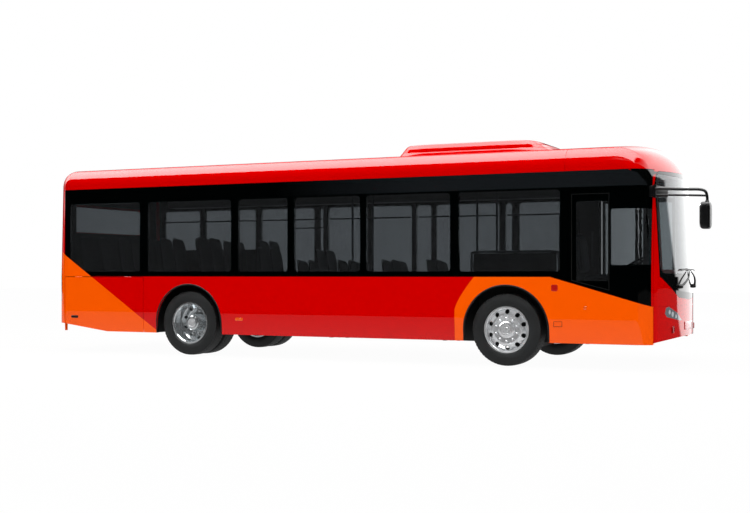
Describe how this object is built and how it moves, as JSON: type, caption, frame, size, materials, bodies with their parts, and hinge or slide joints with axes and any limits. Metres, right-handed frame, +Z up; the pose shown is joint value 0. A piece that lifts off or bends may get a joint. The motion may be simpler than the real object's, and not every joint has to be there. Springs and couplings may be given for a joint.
{
  "type": "city bus",
  "caption": "Low-floor single-deck city bus: glazed box body with bowed nose, roof unit, inward-opening front door, steered front wheels and twin rear wheels.",
  "frame": {"origin": "on the ground under the middle of the whole box, mirrors included", "axes": "+X forwards, +Y to the left side, +Z up"},
  "size_m": [10.08, 3, 2.99],
  "materials": {
    "body_red": "glossy two-coat vehicle paint",
    "bumper_paint": "glossy painted moulding",
    "tinted_glass": "tinted safety glass",
    "lamp_lens": "clear lens",
    "tail_lens": "red lens",
    "door_frame": "black powder coat",
    "floor_vinyl": "grained vinyl",
    "housing_plastic": "moulded lining",
    "chassis_steel": "satin chassis paint",
    "engine_iron": "cast",
    "tyre_rubber": "satin rubber",
    "front_alloy": "polished",
    "rear_chrome": "polished",
    "seat_shell": "woven moquette on a moulded shell",
    "dash_plastic": "grained",
    "pole_steel": "satin stainless",
    "black_plastic": "moulded"
  },
  "bodies": {
    "bus_body": {"right_side_wall": "body_red", "left_side_wall": "body_red", "roof_panel": "body_red", "front_mask": "body_red", "tail_panel": "body_red", "roof_unit": "body_red", "front_bumper": "bumper_paint", "rear_bumper": "bumper_paint", "side_windows": "tinted_glass", "windscreen": "tinted_glass", "rear_window": "tinted_glass", "headlamps": "lamp_lens", "tail_lamps": "tail_lens", "floor_deck": "floor_vinyl", "wheel_housings": "housing_plastic", "ceiling_ducts": "housing_plastic", "chassis_frame": "chassis_steel", "front_axle": "chassis_steel", "rear_axle": "chassis_steel", "engine_block": "engine_iron", "passenger_seats": "seat_shell", "driver_seat": "seat_shell", "dashboard": "dash_plastic", "steering_wheel": "dash_plastic", "driver_partition": "dash_plastic", "grab_poles": "pole_steel", "mirrors": "black_plastic", "wipers": "black_plastic"},
    "left_knuckle_body": {"left_knuckle": "chassis_steel"},
    "right_knuckle_body": {"right_knuckle": "chassis_steel"},
    "track_rod_body": {"track_rod": "chassis_steel"},
    "front_left_wheel": {"front_left_tyre": "tyre_rubber", "front_left_rim": "front_alloy"},
    "front_right_wheel": {"front_right_tyre": "tyre_rubber", "front_right_rim": "front_alloy"},
    "rear_left_wheels": {"rear_left_tyres": "tyre_rubber", "rear_left_rims": "rear_chrome"},
    "rear_right_wheels": {"rear_right_tyres": "tyre_rubber", "rear_right_rims": "rear_chrome"},
    "rear_door_leaf_body": {"rear_door_leaf": "door_frame", "rear_door_glass": "tinted_glass"},
    "front_door_leaf_body": {"front_door_leaf": "door_frame", "front_door_glass": "tinted_glass"},
    "engine_lid_body": {"engine_lid": "body_red"},
    "service_flap_body": {"service_flap": "body_red"}
  },
  "joints": [
    {"name": "left_steer", "type": "hinge", "parent": "bus_body", "child": "left_knuckle_body", "pos_m": [2.41, 0.9275, 0.472], "axis": [0, 0, 1], "range_deg": [-40, 40]},
    {"name": "right_steer", "type": "hinge", "parent": "bus_body", "child": "right_knuckle_body", "pos_m": [2.41, -0.9275, 0.472], "axis": [0, 0, 1], "range_deg": [-40, 40]},
    {"name": "track_rod_pivot", "type": "hinge", "parent": "left_knuckle_body", "child": "track_rod_body", "pos_m": [2.19, 0.9275, 0.175], "axis": [0, 0, 1], "range_deg": [-40, 40]},
    {"name": "front_left_spin", "type": "hinge", "parent": "left_knuckle_body", "child": "front_left_wheel", "pos_m": [2.41, 1.1175, 0.472], "axis": [0, 1, 0], "continuous": true},
    {"name": "front_right_spin", "type": "hinge", "parent": "right_knuckle_body", "child": "front_right_wheel", "pos_m": [2.41, -1.1175, 0.472], "axis": [0, 1, 0], "continuous": true},
    {"name": "rear_left_spin", "type": "hinge", "parent": "bus_body", "child": "rear_left_wheels", "pos_m": [-2.49, 1.1175, 0.472], "axis": [0, 1, 0], "continuous": true},
    {"name": "rear_right_spin", "type": "hinge", "parent": "bus_body", "child": "rear_right_wheels", "pos_m": [-2.49, -1.1175, 0.472], "axis": [0, 1, 0], "continuous": true},
    {"name": "rear_leaf_hinge", "type": "hinge", "parent": "bus_body", "child": "rear_door_leaf_body", "pos_m": [3.062, 1.2525, 1.33], "axis": [0, 0, 1], "range_deg": [-86, 0]},
    {"name": "front_leaf_hinge", "type": "hinge", "parent": "bus_body", "child": "front_door_leaf_body", "pos_m": [4.078, 1.2525, 1.33], "axis": [0, 0, 1], "range_deg": [0, 86]},
    {"name": "engine_lid_hinge", "type": "hinge", "parent": "bus_body", "child": "engine_lid_body", "pos_m": [-5.026, 0, 1.556], "axis": [0, 1, 0], "range_deg": [0, 75]},
    {"name": "service_flap_hinge", "type": "hinge", "parent": "bus_body", "child": "service_flap_body", "pos_m": [-3.99, -1.277, 1.148], "axis": [1, 0, 0], "range_deg": [-85, 0]}
  ],
  "couplings": [
    {"joint": "right_steer", "follows": "left_steer", "ratio": 1},
    {"joint": "track_rod_pivot", "follows": "left_steer", "ratio": -1}
  ]
}
